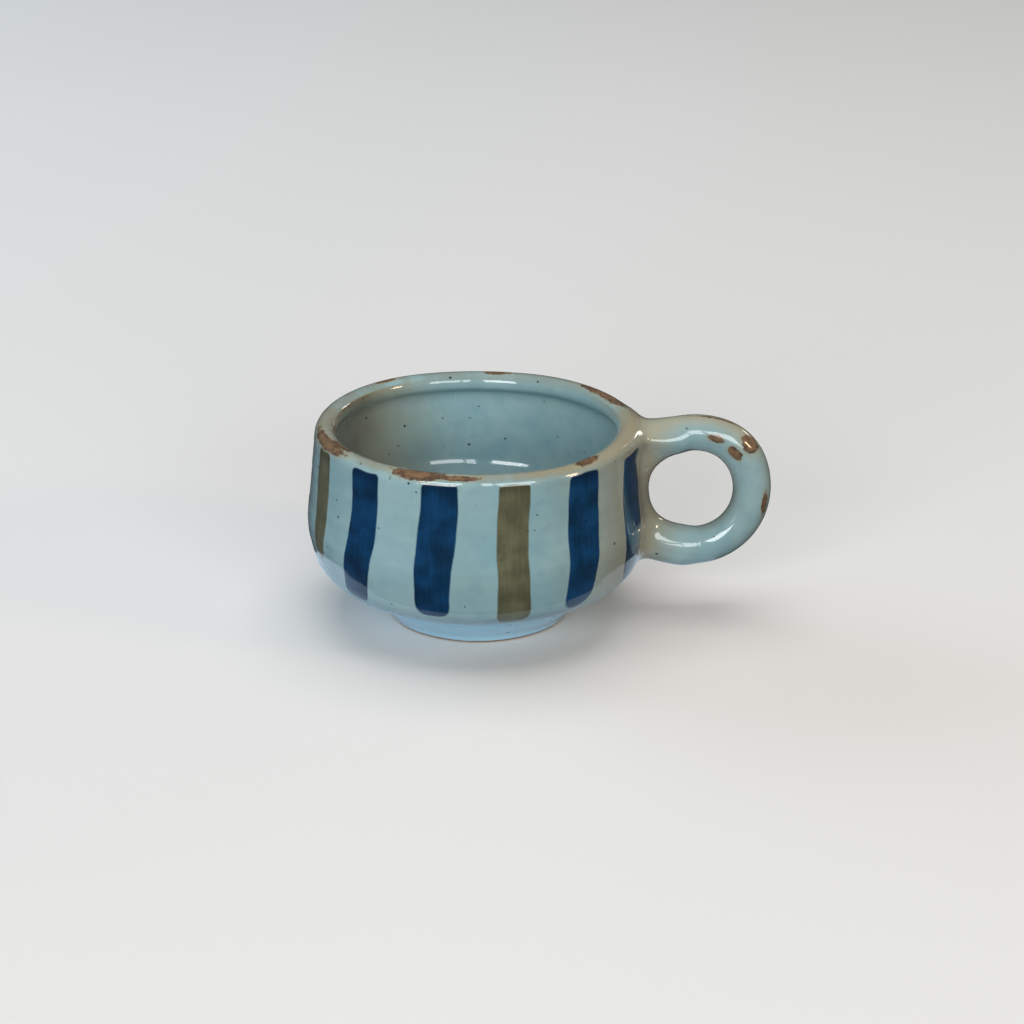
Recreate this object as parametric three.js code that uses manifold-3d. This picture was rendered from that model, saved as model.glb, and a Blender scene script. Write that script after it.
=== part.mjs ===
// A low, wide stoneware mug with a conical foot, a ring handle and upright brush strokes.
// Millimetres, +Z up. The mug stands on z = 0 and the handle points along +X.
// The origin lies under the middle of the whole mug, handle included.
import * as THREE from "three";
import { mergeVertices } from "three/addons/utils/BufferGeometryUtils.js";
import Module from "manifold-3d";

const wasm = await Module();
wasm.setup();

// Driving dimensions
const GAP = 0.3; // left between two pieces that touch
const TURNS = 60; // facets around the wheel-thrown pieces
const WALL_STEPS = 13; // facets up the outside wall
const INSIDE_STEPS = 10; // facets down the inside
const LIP_STEPS = 6; // facets over the lip

const BELLY_RADIUS = 52;
const RIM_HEIGHT = 61;
const LIP_WIDTH = 6.4;
const LIP_RADIUS = 49.5; // outside of the rolled lip
const LIP_ROLL = 3; // height of the rolled lip's round top
const FLOOR_TOP = 17.5; // inside floor of the cup
const CREASE_RADIUS = 38.8; // where the bowl meets its foot
const CREASE_HEIGHT = 11.6;

const FOOT_RADIUS = 27.8;
const FOOT_BEVEL = 0.8;
const FOOT_HOLLOW_RADIUS = 21.5;
const FOOT_HOLLOW_TOP_RADIUS = 19.5;

const COIL_RADIUS = 5.75;
const RING_RADIUS = 18.6; // to the middle of the coil
const RING_CENTRE_X = 65.4; // from the bowl's own axis
const RING_CENTRE_Z = 39.3;
const RING_STEPS = 48;
const COIL_SIDES = 14;
const JOINT_WIDTH = 9;
const JOINT_ROUNDING = 1.6;

const STROKE_DEPTH = 0.5; // thickness of a brushed layer of slip
const STROKE_CORNER = 2.4;

// The bowl's axis, with the origin midway between the far side of the bowl and the end of the handle
const HANDLE_REACH = RING_CENTRE_X + RING_RADIUS + COIL_RADIUS;
const AXIS_X = (BELLY_RADIUS - HANDLE_REACH) / 2;

const GLAZE = new THREE.Color("#7e9da2");
const COBALT = new THREE.Color("#11375a");
const IRON = new THREE.Color("#585744");

function glazed(colour, roughness) {
  return new THREE.MeshStandardMaterial({ color: colour, roughness, metalness: 0 });
}

function points(pairs) {
  return pairs.map(([across, up]) => new THREE.Vector2(across, up));
}

function smooth(pairs, steps) {
  return new THREE.SplineCurve(points(pairs)).getPoints(steps);
}

// Solid of revolution about the bowl's axis; the outline runs anticlockwise seen with +X to the right
function turned(outline) {
  const geometry = new THREE.LatheGeometry(outline, TURNS);
  geometry.rotateX(Math.PI / 2);
  return geometry;
}

function solidOf(geometry) {
  const bare = geometry.index ? geometry.toNonIndexed() : geometry.clone();
  bare.deleteAttribute("normal");
  bare.deleteAttribute("uv");
  const merged = mergeVertices(bare, 1e-4);
  const vertProperties = new Float32Array(merged.attributes.position.array);
  const triVerts = new Uint32Array(merged.index.array);
  return new wasm.Manifold(new wasm.Mesh({ numProp: 3, vertProperties, triVerts }));
}

function geometryOf(solid) {
  const mesh = solid.getMesh();
  const geometry = new THREE.BufferGeometry();
  geometry.setAttribute("position", new THREE.BufferAttribute(mesh.vertProperties, 3));
  geometry.setIndex(new THREE.BufferAttribute(mesh.triVerts, 1));
  geometry.computeVertexNormals();
  return geometry;
}

function named(name, geometry, material) {
  const mesh = new THREE.Mesh(geometry, material);
  mesh.name = name;
  return mesh;
}

// Bowl: the outside wall swells to the belly, draws in to the rim and turns under to the foot
const WALL = [
  [CREASE_RADIUS, CREASE_HEIGHT],
  [44.8, 14.2],
  [48.9, 18.5],
  [51.3, 24.8],
  [BELLY_RADIUS, 31.5],
  [51, 41],
  [50.1, 51],
  [LIP_RADIUS, RIM_HEIGHT - LIP_ROLL],
];

// The wall moved outward by a distance along its own normal
function wallOffset(distance) {
  const curve = new THREE.SplineCurve(points(WALL));
  const moved = [];
  for (let step = 0; step <= WALL_STEPS; step += 1) {
    const along = step / WALL_STEPS;
    const tangent = curve.getTangent(along);
    const outward = new THREE.Vector2(tangent.y, -tangent.x);
    moved.push(curve.getPoint(along).addScaledVector(outward, distance));
  }
  return moved;
}

// The lip's round top moved outward by a distance, from its outside over towards the inside
function lipArc(distance, turn, steps) {
  const centreX = LIP_RADIUS - LIP_WIDTH / 2;
  const centreZ = RIM_HEIGHT - LIP_ROLL;
  const arc = [];
  for (let step = 1; step <= steps; step += 1) {
    const angle = (turn * step) / steps;
    const across = centreX + (LIP_WIDTH / 2 + distance) * Math.cos(angle);
    arc.push(new THREE.Vector2(across, centreZ + (LIP_ROLL + distance) * Math.sin(angle)));
  }
  return arc;
}

// Inside of the cup, from under the lip down to the floor
const INSIDE = [
  [LIP_RADIUS - LIP_WIDTH, RIM_HEIGHT - LIP_ROLL],
  [45.2, 53],
  [45.9, 45],
  [46.4, 35],
  [44, 25.6],
  [37.5, 19.3],
  [28, FLOOR_TOP],
];

function bowl() {
  const outline = [
    new THREE.Vector2(0, CREASE_HEIGHT),
    ...wallOffset(0),
    ...lipArc(0, Math.PI, LIP_STEPS),
    ...smooth(INSIDE, INSIDE_STEPS).slice(1),
    new THREE.Vector2(0, FLOOR_TOP),
  ];
  return turned(outline);
}

// Everything inside the wall's outer face, grown by a distance: cuts what is luted onto the wall
function wallCore(distance) {
  const outline = [
    new THREE.Vector2(0, CREASE_HEIGHT - distance),
    ...wallOffset(distance),
    ...lipArc(distance, Math.PI / 2, LIP_STEPS / 2),
    new THREE.Vector2(0, RIM_HEIGHT + distance),
  ];
  return solidOf(turned(outline));
}

// Foot: a turned ring, conical outside, hollow underneath, standing on a flat edge
function footRing() {
  const top = CREASE_HEIGHT - GAP;
  const outline = points([
    [FOOT_HOLLOW_RADIUS, 0],
    [FOOT_RADIUS - FOOT_BEVEL, 0],
    [FOOT_RADIUS, FOOT_BEVEL],
    [CREASE_RADIUS, top],
    [FOOT_HOLLOW_TOP_RADIUS, top],
    [FOOT_HOLLOW_RADIUS - FOOT_BEVEL / 2, FOOT_BEVEL],
    [FOOT_HOLLOW_RADIUS, 0],
  ]);
  return turned(outline);
}

// Handle: a coil of clay closed into an upright ring
function ring(coilRadius) {
  const geometry = new THREE.TorusGeometry(RING_RADIUS, coilRadius, COIL_SIDES, RING_STEPS);
  geometry.rotateX(Math.PI / 2);
  geometry.translate(RING_CENTRE_X, 0, RING_CENTRE_Z);
  return solidOf(geometry);
}

// A web of clay between the ring and the wall: its outline seen from the side, rounded out all along its edges
function web(outline) {
  const flat = JOINT_WIDTH - 2 * JOINT_ROUNDING;
  const geometry = new THREE.ExtrudeGeometry(outline, {
    depth: flat,
    curveSegments: 8,
    bevelEnabled: true,
    bevelThickness: JOINT_ROUNDING,
    bevelSize: JOINT_ROUNDING,
    bevelSegments: 3,
  });
  geometry.translate(0, 0, -flat / 2);
  geometry.rotateX(Math.PI / 2);
  return solidOf(geometry);
}

const WEB_TOP = RING_CENTRE_Z + RING_RADIUS + COIL_RADIUS - JOINT_ROUNDING;
const WEB_FOOT = RING_CENTRE_Z - RING_RADIUS - COIL_RADIUS + JOINT_ROUNDING;

// Upper joint: runs from the outside of the lip over onto the top of the ring
function upperWeb() {
  const outline = new THREE.Shape();
  outline.moveTo(LIP_RADIUS - 3, WEB_TOP - 12);
  outline.lineTo(LIP_RADIUS + 9, WEB_TOP - 9);
  outline.lineTo(RING_CENTRE_X - 5, WEB_TOP - 5);
  outline.lineTo(RING_CENTRE_X - 5, WEB_TOP - 0.2);
  outline.quadraticCurveTo(LIP_RADIUS + 5, WEB_TOP - 1.6, LIP_RADIUS + 1, RIM_HEIGHT - JOINT_ROUNDING);
  outline.lineTo(LIP_RADIUS - 3, RIM_HEIGHT - JOINT_ROUNDING - 0.5);
  return web(outline);
}

// Lower joint: carries the underside of the ring straight in to the wall
function lowerWeb() {
  const outline = new THREE.Shape();
  outline.moveTo(LIP_RADIUS - 3, WEB_FOOT + 9);
  outline.lineTo(LIP_RADIUS - 3, WEB_FOOT + 2.6);
  outline.quadraticCurveTo(LIP_RADIUS + 6, WEB_FOOT + 0.2, RING_CENTRE_X, WEB_FOOT);
  outline.lineTo(RING_CENTRE_X, WEB_FOOT + 6);
  outline.lineTo(LIP_RADIUS + 4, WEB_FOOT + 9);
  return web(outline);
}

function largestPiece(solid) {
  const pieces = solid.decompose();
  return pieces.reduce((best, piece) => (piece.volume() > best.volume() ? piece : best));
}

// Brush strokes, going round from the handle: degrees from the front, width, lean and foot of each
const STROKES = [
  { angle: 71, width: 12, lean: -1.6, foot: 18 },
  { angle: 41, width: 11.4, lean: -2, foot: 17.5 },
  { angle: 14, width: 10.2, lean: -0.8, foot: 15 },
  { angle: -12.5, width: 11.6, lean: -2, foot: 17.5 },
  { angle: -42, width: 10.9, lean: -2.4, foot: 16.5 },
  { angle: -67, width: 8.2, lean: 0.4, foot: 24 },
  { angle: -97.5, width: 11.4, lean: 0.8, foot: 17 },
  { angle: -128, width: 11, lean: -1, foot: 16.5 },
  { angle: -158.5, width: 10, lean: 0.5, foot: 15.5 },
  { angle: 171, width: 11.6, lean: 1.4, foot: 17 },
  { angle: 140.5, width: 11.2, lean: -1.2, foot: 17.5 },
  { angle: 110, width: 9.4, lean: 0.6, foot: 19 },
];
const STROKE_TOP = RIM_HEIGHT - 2;
const STROKES_IN_A_PATTERN = 3; // two of cobalt, then one of iron

// A stroke's outline with rounded corners, its middle on x = 0
function strokeOutline(stroke) {
  const half = stroke.width / 2;
  const shape = new THREE.Shape();
  shape.moveTo(-half, STROKE_TOP - STROKE_CORNER);
  shape.quadraticCurveTo(-half, STROKE_TOP, STROKE_CORNER - half, STROKE_TOP);
  shape.lineTo(half - STROKE_CORNER, STROKE_TOP);
  shape.quadraticCurveTo(half, STROKE_TOP, half, STROKE_TOP - STROKE_CORNER);
  shape.lineTo(half + stroke.lean, stroke.foot + STROKE_CORNER);
  shape.quadraticCurveTo(half + stroke.lean, stroke.foot, half / 3 + stroke.lean, stroke.foot);
  shape.lineTo(stroke.lean - half / 3, stroke.foot);
  shape.quadraticCurveTo(stroke.lean - half, stroke.foot, stroke.lean - half, stroke.foot + 2 * STROKE_CORNER);
  shape.closePath();
  return shape;
}

// The layer of slip: a thin shell just off the wall, cut to the stroke's outline
function strokeGeometry(stroke, shell) {
  const geometry = new THREE.ExtrudeGeometry(strokeOutline(stroke), {
    depth: BELLY_RADIUS,
    curveSegments: 3,
    bevelEnabled: false,
  });
  geometry.rotateX(Math.PI / 2);
  geometry.translate(0, -BELLY_RADIUS / 3, 0);
  geometry.rotateZ(THREE.MathUtils.degToRad(stroke.angle));
  return geometryOf(largestPiece(shell.intersect(solidOf(geometry))));
}

const object = new THREE.Group();
const mug = new THREE.Group();
mug.position.x = AXIS_X;
object.add(mug);

const core = wallCore(GAP);
const joinedRing = ring(COIL_RADIUS + GAP);
const handle = largestPiece(ring(COIL_RADIUS).subtract(core));
const upperJoint = largestPiece(upperWeb().subtract(core).subtract(joinedRing));
const lowerJoint = largestPiece(lowerWeb().subtract(core).subtract(joinedRing));

mug.add(named("bowl", bowl(), glazed(GLAZE, 0.2)));
mug.add(named("foot_ring", footRing(), glazed(GLAZE, 0.25)));
mug.add(named("handle_ring", geometryOf(handle), glazed(GLAZE, 0.2)));
mug.add(named("upper_handle_joint", geometryOf(upperJoint), glazed(GLAZE, 0.2)));
mug.add(named("lower_handle_joint", geometryOf(lowerJoint), glazed(GLAZE, 0.2)));

const shell = wallCore(GAP + STROKE_DEPTH).subtract(core);
const counts = { cobalt: 0, iron: 0 };
STROKES.forEach((stroke, place) => {
  const pigment = place % STROKES_IN_A_PATTERN === STROKES_IN_A_PATTERN - 1 ? "iron" : "cobalt";
  counts[pigment] += 1;
  const colour = pigment === "iron" ? IRON : COBALT;
  mug.add(named(`${pigment}_stroke_${counts[pigment]}`, strokeGeometry(stroke, shell), glazed(colour, 0.25)));
});

export default object;
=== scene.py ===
import math
from collections import namedtuple

import bmesh
import bpy
import numpy as np
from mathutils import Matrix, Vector


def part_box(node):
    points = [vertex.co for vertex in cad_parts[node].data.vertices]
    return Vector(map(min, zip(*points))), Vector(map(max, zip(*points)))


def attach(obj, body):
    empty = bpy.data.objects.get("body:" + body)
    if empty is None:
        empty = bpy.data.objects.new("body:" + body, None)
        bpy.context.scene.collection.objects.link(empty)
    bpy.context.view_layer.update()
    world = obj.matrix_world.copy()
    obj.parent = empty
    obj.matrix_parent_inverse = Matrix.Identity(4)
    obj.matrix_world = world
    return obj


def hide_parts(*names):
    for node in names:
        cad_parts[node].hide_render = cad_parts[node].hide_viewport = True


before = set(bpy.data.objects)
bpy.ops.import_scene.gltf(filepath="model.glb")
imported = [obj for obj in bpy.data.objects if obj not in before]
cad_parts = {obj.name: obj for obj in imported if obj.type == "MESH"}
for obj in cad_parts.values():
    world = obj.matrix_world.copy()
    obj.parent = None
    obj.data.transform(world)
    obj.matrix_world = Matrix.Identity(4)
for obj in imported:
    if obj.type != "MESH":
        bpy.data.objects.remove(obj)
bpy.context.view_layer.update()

# Everything is shaped in millimetres about the bowl's own axis, then placed in the frame in metres.
MM = 0.001
FULL_TURN = 2 * math.pi
TINY = 1e-9  # keeps a division from being by nothing


def node_box(node):
    """The lowest and highest corners of a node, in millimetres."""
    low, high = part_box(node)
    return np.array(low) / MM, np.array(high) / MM


BOWL_LOW, BOWL_HIGH = node_box("bowl")
FOOT_LOW, FOOT_HIGH = node_box("foot_ring")
RING_LOW, RING_HIGH = node_box("handle_ring")

AXIS_X = (BOWL_LOW[0] + BOWL_HIGH[0]) / 2
BELLY = (BOWL_HIGH[0] - BOWL_LOW[0]) / 2
RIM = BOWL_HIGH[2]
CREASE = BOWL_LOW[2]
CREASE_RADIUS = (FOOT_HIGH[0] - FOOT_LOW[0]) / 2

LIP_LEAN = 2.5  # how far the lip stands in from the belly
LIP_RADIUS = BELLY - LIP_LEAN
LIP_HALF_WIDTH = 3.2
LIP_ROLL = 3  # height of the round over the lip
LIP_MIDDLE = (LIP_RADIUS - LIP_HALF_WIDTH, RIM - LIP_ROLL)
FLOOR_THICKNESS = 5.9
FLOOR = CREASE + FLOOR_THICKNESS
HALF_WALL = 2.5  # a point further in than this is on the inner skin
AXIS_GAP = 2  # radius of the ring of points that is closed onto the axis

RING_OUTSIDE = (RING_HIGH[2] - RING_LOW[2]) / 2
COIL = 5.72  # half the thickness of the ring's coil of clay
RING_RADIUS = RING_OUTSIDE - COIL
RING_X = RING_HIGH[0] - RING_OUTSIDE - AXIS_X
RING_Z = (RING_HIGH[2] + RING_LOW[2]) / 2

WALL_BLEND = 4.5  # width of the fillet between handle and wall
COIL_BLEND = 4  # width of the fillet between the ring and its joints
SEAM_OVERLAP = 0.8  # how far a piece runs on under its neighbour
ROOT_DEPTH = 1.2  # how deep the handle sits in the wall
HANDLE_SIDE = 0.7 * LIP_RADIUS  # the wall swells towards the handle only beyond this

# How finely the meshes are drawn: millimetres between points, or numbers of points
OUTSIDE_SPACING = 0.6
INSIDE_SPACING = 1.1
UNDERSIDE_SPACING = 4
STANDING_SPACING = 0.9
CURVE_STEPS = 24  # between two drawn points, before a line is respaced
LIP_STEPS = 9
HANDLE_SECTOR = math.radians(25)  # the bowl's mesh is finer within this of the handle
FINE_COLUMNS = 120
COARSE_COLUMNS = 210
FOOT_COLUMNS = 240
RING_ROWS = 270
RING_COLUMNS = 84
WEB_ROWS = 70
WEB_COLUMNS = 72
STROKE_ROWS = 72
STROKE_COLUMNS = 46
HALVINGS = 13  # of the distance within which a point finds the blended surface


# ---------------------------------------------------------------- shapes and distances

def ease(low, high, value):
    """0 below low, 1 above high, smooth between."""
    share = np.clip((value - low) / (high - low), 0, 1)
    return share * share * (3 - 2 * share)


def turned(degrees):
    """The same angle, brought between half a turn back and half a turn on."""
    return (degrees + 180) % 360 - 180


def hump(value, middle, spread):
    """1 at the middle, falling smoothly to nothing a few spreads away."""
    return np.exp(-((value - middle) / spread) ** 2)


def waves(angle, parts):
    """Unevenness around a turn: each part is (depth in millimetres, how many waves, where they start)."""
    return sum(depth * np.sin(count * angle + start) for depth, count, start in parts)


def unit(vectors):
    """The same directions, each one long."""
    return vectors / np.maximum(np.linalg.norm(vectors, axis=-1, keepdims=True), TINY)


def soft_min(first, second, width):
    """The smaller of two distances, with a fillet of this width where they are nearly the same."""
    reach = np.maximum(width - np.abs(first - second), 0)
    return np.minimum(first, second) - reach * reach / (4 * width)


def blend_depth(width):
    """How far below the two distances soft_min goes where they are the same."""
    return width / 4


def spline(points, spacing):
    """A smooth line through the points, with its points about one spacing apart."""
    knots = np.array(points, float)
    padded = np.vstack([2 * knots[0] - knots[1], knots, 2 * knots[-1] - knots[-2]])
    share = np.linspace(0, 1, CURVE_STEPS, endpoint=False)[:, None]
    fine = []
    for start in range(len(knots) - 1):
        a, b, c, d = padded[start:start + 4]
        fine.append(0.5 * (2 * b + (c - a) * share + (2 * a - 5 * b + 4 * c - d) * share ** 2
                           + (3 * b - a - 3 * c + d) * share ** 3))
    line = np.vstack(fine + [knots[-1:]])
    return respace(line, spacing)


def distance_along(line):
    """How far each point of a line is from its start, along the line."""
    return np.concatenate([[0], np.cumsum(np.linalg.norm(np.diff(line, axis=0), axis=1))])


def points_along(line, marks):
    """The points of a line at these distances from its start."""
    run = distance_along(line)
    return np.stack([np.interp(marks, run, line[:, k]) for k in range(2)], axis=1)


def respace(line, spacing):
    """The same line with its points evenly apart, by about one spacing."""
    length = distance_along(line)[-1]
    return points_along(line, np.linspace(0, length, max(2, int(round(length / spacing)) + 1)))


def lip_arc(start, end):
    """Points over the rolled lip from one angle to another: 0 is outside, 90 is the crown."""
    turn = np.radians(np.linspace(start, end, LIP_STEPS))
    return np.stack([LIP_MIDDLE[0] + LIP_HALF_WIDTH * np.cos(turn),
                     LIP_MIDDLE[1] + LIP_ROLL * np.sin(turn)], axis=1)


# The wall from the crease over the foot up to the lip, and the cup from the lip down: (radius, height)
WALL = [
    (CREASE_RADIUS, CREASE + 0.3),
    (CREASE_RADIUS + 2.4, CREASE + 0.8),
    (CREASE_RADIUS + 6.8, CREASE + 2.5),
    (BELLY - 2.4, CREASE + 6.9),
    (BELLY - 0.7, CREASE + 13.2),
    (BELLY, CREASE + 19.9),
    (BELLY - 1, RIM - 20),
    (BELLY - 1.9, RIM - 10),
    (LIP_RADIUS, RIM - LIP_ROLL),
]
INSIDE = [
    (LIP_RADIUS - 2 * LIP_HALF_WIDTH, RIM - LIP_ROLL),
    (LIP_RADIUS - 6.1, RIM - 4.5),
    (LIP_RADIUS - 4.6, RIM - 6.2),
    (LIP_RADIUS - 3.4, RIM - 9.5),
    (BELLY - 5.8, RIM - 16),
    (BELLY - 5.7, RIM - 24.5),
    (BELLY - 5.9, FLOOR + 15),
    (BELLY - 8.2, FLOOR + 10.4),
    (BELLY - 14.2, FLOOR + 3.8),
    (BELLY - 24, FLOOR + 0.3),
    (AXIS_GAP, FLOOR),
]
OUTSIDE = np.vstack([spline(WALL, OUTSIDE_SPACING), lip_arc(0, 90)[1:]])


def wall_radius(height):
    """The bowl's outer radius at a height."""
    return np.interp(height, OUTSIDE[:, 1], OUTSIDE[:, 0])


def in_the_cup(radius, height):
    """Whether a point is on the skin inside the cup, not on the outer skin or under the floor."""
    return (radius < wall_radius(height) - HALF_WALL) & (height > FLOOR - 1)


def wall_distance(points):
    """Distance outside the bowl's wall and lip, less than 0 in the clay."""
    radius = np.hypot(points[:, 0], points[:, 1])
    height = points[:, 2]
    start = OUTSIDE[:-1]
    along = OUTSIDE[1:] - start
    length = (along ** 2).sum(axis=1)
    across = radius[:, None] - start[None, :, 0]
    up = height[:, None] - start[None, :, 1]
    share = np.clip((across * along[:, 0] + up * along[:, 1]) / length, 0, 1)
    gap = np.hypot(across - share * along[:, 0], up - share * along[:, 1]).min(axis=1)
    crown = OUTSIDE[-1, 0]
    gap = np.where(radius < crown, np.minimum(gap, np.abs(height - RIM)), gap)
    within = (height > CREASE) & (height < RIM) & (radius < wall_radius(height))
    return np.where(within, -gap, gap)


# Unevenness of the coil's thickness and of the ring's radius, as waves takes it, and what the shoulder adds
COIL_WAVES = ((-0.16, 1, 0), (0.1, 3, 1))
RING_WAVES = ((-0.25, 1, 0), (0.12, 2, 0.6), (-0.1, 3, math.pi / 2))
SHOULDER_THICKER = 0.4
SHOULDER_FURTHER = 0.45


def shoulder(turn):
    """1 at the far upper corner of the ring, where the coil bulges, falling to 0 away from it."""
    return hump(turn, math.pi / 4, 0.5)


def coil_half(turn):
    """Half the coil's thickness around the ring: thin at the top, fuller underneath and at the shoulder."""
    return COIL + waves(turn, COIL_WAVES) + SHOULDER_THICKER * shoulder(turn)


def ring_middle(turn):
    """The radius of the coil's middle line around the ring, which is a little out of round."""
    return RING_RADIUS + waves(turn, RING_WAVES) + SHOULDER_FURTHER * shoulder(turn)


def ring_distance(points):
    """Distance outside the ring's coil, less than 0 in it."""
    across = points[:, 0] - RING_X
    up = points[:, 2] - RING_Z
    turn = np.arctan2(up, across)
    half = coil_half(turn)
    offset = (np.hypot(across, up) - ring_middle(turn)) / half
    side = points[:, 1] / COIL
    return (np.hypot(offset, side) - 1) * np.minimum(half, COIL)


class Web:
    """A strap of clay from the wall to the ring, oval in section.

    Each end is (x, z, half height, half width).
    """

    end_open = 0.01  # keeps the first and last ring of points from closing

    def __init__(self, root, tip):
        self.root = np.array(root, float)
        self.tip = np.array(tip, float)

    def distance(self, points):
        """Distance outside the strap, less than 0 in it."""
        run = self.tip[:2] - self.root[:2]
        across = points[:, 0] - self.root[0]
        up = points[:, 2] - self.root[1]
        share = np.clip((across * run[0] + up * run[1]) / (run @ run), 0, 1)
        half_height = self.root[2] + (self.tip[2] - self.root[2]) * share
        half_width = self.root[3] + (self.tip[3] - self.root[3]) * share
        gap = np.hypot(across - share * run[0], up - share * run[1])
        oval = np.hypot(gap / half_height, points[:, 1] / half_width)
        return (oval - 1) * np.minimum(half_height, half_width)

    def surface(self, rows, columns):
        """A closed grid over the strap: rings of points from the root's end to the tip's."""
        run = self.tip[:2] - self.root[:2]
        length = np.hypot(*run)
        ahead = run / length
        aside = np.array([-ahead[1], ahead[0]])
        reach = length + self.root[2] + self.tip[2]
        grid = np.zeros((rows, columns, 3))
        turn = np.linspace(0, FULL_TURN, columns, endpoint=False)
        for row in range(rows):
            place = reach * (1 - math.cos(math.pi * (row + 0.5) / rows)) / 2 - self.root[2]
            share = min(max(place / length, 0), 1)
            half_height, half_width = self.root[2:] + (self.tip[2:] - self.root[2:]) * share
            past = max(-place, place - length, 0) / half_height
            round_off = math.sqrt(max(1 - past * past, self.end_open))
            middle = self.root[:2] + ahead * place
            lift = half_height * round_off * np.cos(turn)
            grid[row, :, 0] = middle[0] + aside[0] * lift
            grid[row, :, 2] = middle[1] + aside[1] * lift
            grid[row, :, 1] = half_width * round_off * np.sin(turn)
        return grid


UPPER_WEB = Web((LIP_RADIUS - 1.6, RIM - 3.5, 2.8, 9), (RING_X - 4.5, RIM - 5.1, 2.1, 4.4))
LOWER_WEB = Web((LIP_RADIUS - 1, RING_Z - 17.9, 3.9, 5.4), (RING_X - 3.2, RING_Z - 18.9, 4.7, 5.1))


def handle_distance(points):
    """Distance outside the ring and its two joints, blended together."""
    joined = soft_min(ring_distance(points), UPPER_WEB.distance(points), COIL_BLEND)
    return soft_min(joined, LOWER_WEB.distance(points), COIL_BLEND)


def settle(points, normals, field, limit):
    """Moves each point out along its normal until it lies on the blended surface, where field is 0."""
    low = np.zeros(len(points))
    high = np.full(len(points), float(limit))
    for _ in range(HALVINGS):
        middle = (low + high) / 2
        buried = field(points + normals * middle[:, None], middle) < 0
        low = np.where(buried, middle, low)
        high = np.where(buried, high, middle)
    travel = np.where(field(points, 0 * low) < 0, (low + high) / 2, 0)
    return points + normals * travel[:, None]


def mug_field(points, travel):
    """Distance outside wall and handle, blended together, however far the points have travelled."""
    return soft_min(wall_distance(points), handle_distance(points), WALL_BLEND)


def wall_field(points, travel):
    """The same for points of the wall, which are as far outside it as they have travelled."""
    return soft_min(travel, handle_distance(points), WALL_BLEND)


def seat_on_wall(points, normals):
    """Swells the wall where the handle is luted on, so that it runs smoothly up into the handle."""
    near = points[:, 0] > HANDLE_SIDE
    settled = points.copy()
    limit = blend_depth(WALL_BLEND) + SEAM_OVERLAP
    settled[near] = settle(points[near], normals[near], wall_field, limit)
    radius = np.hypot(points[:, 0], points[:, 1])
    outer = ease(LIP_MIDDLE[0] - 1.5, LIP_MIDDLE[0] + 2, radius)[:, None]
    return points + (settled - points) * outer


def seat_handle(points, normals):
    """Runs a piece of the handle smoothly into its neighbours, and ends it just inside the wall."""
    limit = blend_depth(WALL_BLEND + COIL_BLEND) + SEAM_OVERLAP
    settled = settle(points, normals, mug_field, limit)
    deep = wall_distance(settled) < -ROOT_DEPTH
    around = np.arctan2(settled[:, 1], settled[:, 0])
    radius = wall_radius(settled[:, 2]) - ROOT_DEPTH
    settled[deep, 0] = (radius * np.cos(around))[deep]
    settled[deep, 1] = (radius * np.sin(around))[deep]
    reached = np.hypot(settled[:, 0], settled[:, 1])
    inner = 1 - ease(LIP_MIDDLE[0] - 0.5, LIP_MIDDLE[0] + 2.5, reached)[:, None]
    height = np.minimum(settled[:, 2], LIP_MIDDLE[1])
    core = np.stack([LIP_MIDDLE[0] * np.cos(around), LIP_MIDDLE[0] * np.sin(around), height], axis=1)
    return settled + (core - settled) * 0.5 * inner


# How far the rim stands above its drawn height, every eighth of the way round from the handle's side
RIM_LIFT = (1.2, 0.8, -0.3, 0.5, 0.2, 0.8, 0.9, 0.3)
RIM_STEP = FULL_TURN / len(RIM_LIFT)
RIM_SPREAD = 0.48  # how far round each of them is felt, in radians

# Unevenness of the bowl and handle, in millimetres
NARROWER_ACROSS = 0.3
NARROWER_TO_THE_BACK = 0.8
CUP_LEAN = 1.8  # the bottom of the cup stands off the axis towards the handle
WALL_LEAN = 0.7  # the wall above the crease stands off it the other way
RING_SWAY = 0.35
SWAY_LENGTH = 9
WIDE_THROWING_RINGS = 7.3
FINE_THROWING_RINGS = 4.1
THROWING_DEPTH = 0.02


def rim_lift(around):
    """How far the rim stands above its drawn height, at these angles."""
    total = 0
    weights = 0
    for number, lift in enumerate(RIM_LIFT):
        away = (around - number * RIM_STEP + math.pi) % FULL_TURN - math.pi
        weight = hump(away, 0, RIM_SPREAD)
        total = total + lift * weight
        weights = weights + weight
    return total / weights


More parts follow.
